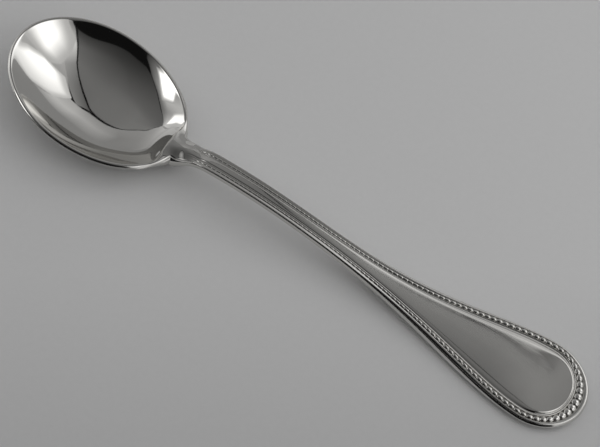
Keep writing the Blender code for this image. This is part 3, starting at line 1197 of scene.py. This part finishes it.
@dataclass(frozen=True)
class LightTent:
    """Soft surroundings: a dim roof, pale sides and white lamps, dark towards the camera."""

    height: float = 0.45
    middle: Triple = (-0.055, 0.0, 0.005)
    room: Triple = (0.38, 0.38, 0.38)

    CARDS = (
        Card(
            "roof_backing", 1.03,
            (
                ((-1.2, 1.0, 0.006), (-1.2, -2.1, 0.006)),
                ((1.0, 1.0, 0.006), (1.6, -2.1, 0.006)),
            ),
        ),
        Card(
            "roof_front", 1.02,
            (
                ((-0.6, -1.0, 0.006), (-1.0, -2.1, 0.006)),
                ((1.0, -1.0, 0.006), (1.6, -2.1, 0.006)),
            ),
            reaches_table=True,
        ),
        Card(
            "roof", 1.0,
            (
                (
                    (-0.44, 0.54, 0.23), (-0.88, 0.34, 0.22), (-1.34, 0.36, 0.13), (-0.73, -0.21, 0.12),
                    (-0.6, -0.51, 0.09), (-0.38, -0.8, 0.05), (-0.25, -0.87, 0.03),
                ),
                (
                    (-0.17, 0.75, 0.23), (-0.2, 0.45, 0.22), (-0.25, 0.2, 0.2), (-0.05, 0.0, 0.14),
                    (0.05, -0.35, 0.08), (0.1, -0.5, 0.05), (0.05, -0.74, 0.03),
                ),
                (
                    (-0.03, 0.81, 0.19), (0.11, 0.58, 0.18), (0.24, 0.385, 0.18), (0.455, 0.115, 0.2),
                    (0.615, -0.16, 0.16), (0.67, -0.26, 0.1), (0.71, -0.36, 0.05),
                ),
            ),
        ),
        Card(
            "roof_slope", 1.0,
            (
                (
                    (-0.01, 0.835, 0.12), (0.26, 0.405, 0.18), (0.475, 0.13, 0.3), (0.635, -0.145, 0.8),
                    (0.69, -0.245, 0.55), (0.73, -0.345, 0.25),
                ),
                (
                    (0.14, 0.98, 0.28), (0.42, 0.55, 0.3), (0.6, 0.33, 0.4), (0.72, 0.03, 0.8),
                    (0.8, -0.13, 0.6), (1.0, -0.45, 0.25),
                ),
            ),
        ),
        Card(
            "lamp_back", 0.985,
            (
                ((0.22, 0.9, 0.9), (0.29, 1.12, 1.0), (0.5, 1.6, 0.9), (0.86, 2.15, 0.9), (1.1, 2.6, 0.9)),
                ((0.46, 0.55, 1.1), (0.88, 0.66, 2.0), (1.2, 1.0, 1.9), (1.5, 1.6, 1.3), (2.0, 2.6, 1.0)),
            ),
            reaches_table=True, feather=0.2, surround=0.7,
        ),
        Card(
            "lamp_right", 0.985,
            (
                ((0.66, -0.2, 1.6), (0.6, 0.1, 1.9), (0.62, 0.4, 1.9), (0.76, 0.66, 1.4)),
                ((1.1, -0.55, 1.1), (1.3, -0.08, 1.3), (1.36, 0.35, 1.3), (1.36, 0.9, 1.1)),
            ),
            reaches_table=True, feather=0.4, surround=0.6,
        ),
        Card(
            "roof_right", 1.0,
            (
                (
                    (1.0, -0.45, 0.25), (0.8, -0.13, 0.6), (0.72, 0.03, 0.8), (0.6, 0.33, 0.5),
                    (0.42, 0.55, 0.4), (0.2, 0.95, 0.45), (0.83, 2.05, 0.55), (1.1, 2.6, 0.5),
                ),
                (
                    (2.6, -1.2, 0.5), (2.6, -0.4, 0.8), (2.6, 0.0, 0.8), (2.6, 0.3, 0.9),
                    (2.6, 0.8, 0.75), (2.6, 1.4, 0.55), (2.6, 2.0, 0.52), (2.6, 2.6, 0.5),
                ),
            ),
        ),
        Card(
            "roof_back", 1.0,
            (
                (
                    (0.25, 0.97, 0.5), (0.1, 1.03, 0.5), (-0.02, 0.9, 0.35), (-0.17, 0.775, 0.32),
                    (-0.44, 0.565, 0.32), (-0.88, 0.365, 0.4), (-1.36, 0.385, 0.5),
                ),
                (
                    (0.5, 1.6, 0.65), (0.1, 1.5, 0.6), (-0.06, 1.3, 0.45), (-0.34, 1.16, 0.27),
                    (-0.72, 0.98, 0.31), (-1.3, 0.85, 0.4), (-2.0, 0.75, 0.6),
                ),
                (
                    (1.0, 2.6, 0.4), (0.25, 2.6, 0.32), (0.0, 2.6, 0.3), (-0.5, 2.6, 0.27),
                    (-1.3, 2.6, 0.27), (-2.2, 2.2, 0.35), (-2.6, 1.0, 0.5),
                ),
            ),
        ),
        Card(
            "roof_left", 1.0,
            (
                (
                    (-1.36, 0.37, 0.5), (-0.755, -0.215, 0.16), (-0.625, -0.52, 0.14), (-0.405, -0.81, 0.1),
                    (-0.3, -1.2, 0.05), (-0.5, -2.0, 0.03),
                ),
                (
                    (-1.5, 0.4, 0.8), (-1.05, -0.25, 0.34), (-0.88, -0.55, 0.6), (-0.69, -0.8, 0.4),
                    (-0.6, -1.25, 0.2), (-0.8, -2.0, 0.1),
                ),
                (
                    (-2.6, 1.0, 0.5), (-2.6, -0.2, 0.9), (-2.6, -0.6, 0.6), (-2.2, -0.95, 0.5),
                    (-1.85, -1.25, 0.5), (-0.95, -2.0, 0.3),
                ),
            ),
        ),
        Card(
            "lamp_left_back", 0.985,
            (
                ((-1.38, 0.34, 1.7), (-1.36, 0.1, 1.7), (-1.4, -0.25, 1.4)),
                ((-2.1, 0.5, 1.5), (-2.2, 0.15, 1.5), (-2.2, -0.4, 1.3)),
            ),
            reaches_table=True, feather=0.25, surround=0.6,
        ),
        Card(
            "lamp_left_front", 0.985,
            (
                ((-0.74, -0.45, 1.6), (-0.66, -0.8, 2.0), (-0.62, -1.3, 1.8)),
                ((-1.25, -0.6, 1.6), (-1.35, -0.95, 2.0), (-1.2, -1.65, 1.8)),
            ),
            feather=0.22, surround=0.5,
        ),
    )
    WALLS = (
        Wall("wall_right", ((2.6, -1.2, 0.6), (2.6, 1.0, 0.75), (2.6, 2.6, 0.4))),
        Wall("wall_back", ((2.6, 2.6, 0.4), (1.0, 2.6, 0.28), (-2.6, 2.6, 0.26))),
        Wall("wall_left", ((-2.6, 2.6, 0.28), (-2.6, -0.6, 0.9), (-1.85, -1.25, 0.5))),
        Wall(
            "wall_front",
            ((-1.85, -1.25, 0.006), (-0.9, -2.0, 0.006), (1.2, -2.0, 0.006), (2.4, -1.2, 0.006)),
            top=0.9, reaches_table=True,
        ),
    )

    def build(self) -> None:
        """Hang the cards and walls, out of the camera's sight, and set the world."""
        for panel in (*self.CARDS, *self.WALLS):
            self.hang(panel.name, panel.sheet(), panel.reaches_table)
        self.set_world()

    def hang(self, name: str, sheet: Array, reaches_table: bool) -> None:
        """Hang one sheet that glows and isn't seen directly.

        Args:
            name: Name of the sheet.
            sheet: Grid of places in shares of the tent's height, each with its glow.
            reaches_table: Whether the sheet also lights or shades the table.
        """
        places = sheet[..., :3].reshape(-1, 3) * self.height + np.array(self.middle)
        mesh = bpy.data.meshes.new(name)
        mesh.from_pydata(places, [], grid_faces(*sheet.shape[:2]).tolist())
        layer = mesh.attributes.new("glow", "FLOAT", "POINT")
        layer.data.foreach_set("value", sheet[..., 3].reshape(-1).astype(np.float32))
        material = bpy.data.materials.new(name)
        material.use_nodes = True
        board = NodeBoard(material.node_tree)
        strength = board.add("ShaderNodeAttribute", attribute_name="glow").outputs["Fac"]
        light = board.add("ShaderNodeEmission", {"Strength": strength})
        board.add("ShaderNodeOutputMaterial", {"Surface": light.outputs[0]})
        mesh.materials.append(material)
        hung = bpy.data.objects.new(name, mesh)
        hung.visible_camera = False
        hung.visible_shadow = False
        hung.visible_diffuse = reaches_table
        bpy.context.scene.collection.objects.link(hung)

    def set_world(self) -> None:
        """Set the even, pale light of the room."""
        world = bpy.data.worlds.new("studio")
        world.use_nodes = True
        board = NodeBoard(world.node_tree)
        light = board.add("ShaderNodeBackground", {"Color": (*self.room, 1.0), "Strength": 1.0})
        board.add("ShaderNodeOutputWorld", {"Surface": light.outputs[0]})
        bpy.context.scene.world = world


def main() -> None:
    """Build the camera, the spoon's pieces, the table and the light in order."""
    logging.basicConfig(level=logging.INFO, format="%(name)s: %(message)s")
    bpy.context.scene.view_settings.view_transform = "Standard"
    PhotoCamera().build()
    form = SpoonForm.from_frame()
    handle = Handle(form)
    SpoonBody(form, Bowl(form), handle).build()
    BeadBorder(form, handle).build()
    TableTop().build()
    LightTent().build()


if __name__ == "__main__":
    main()
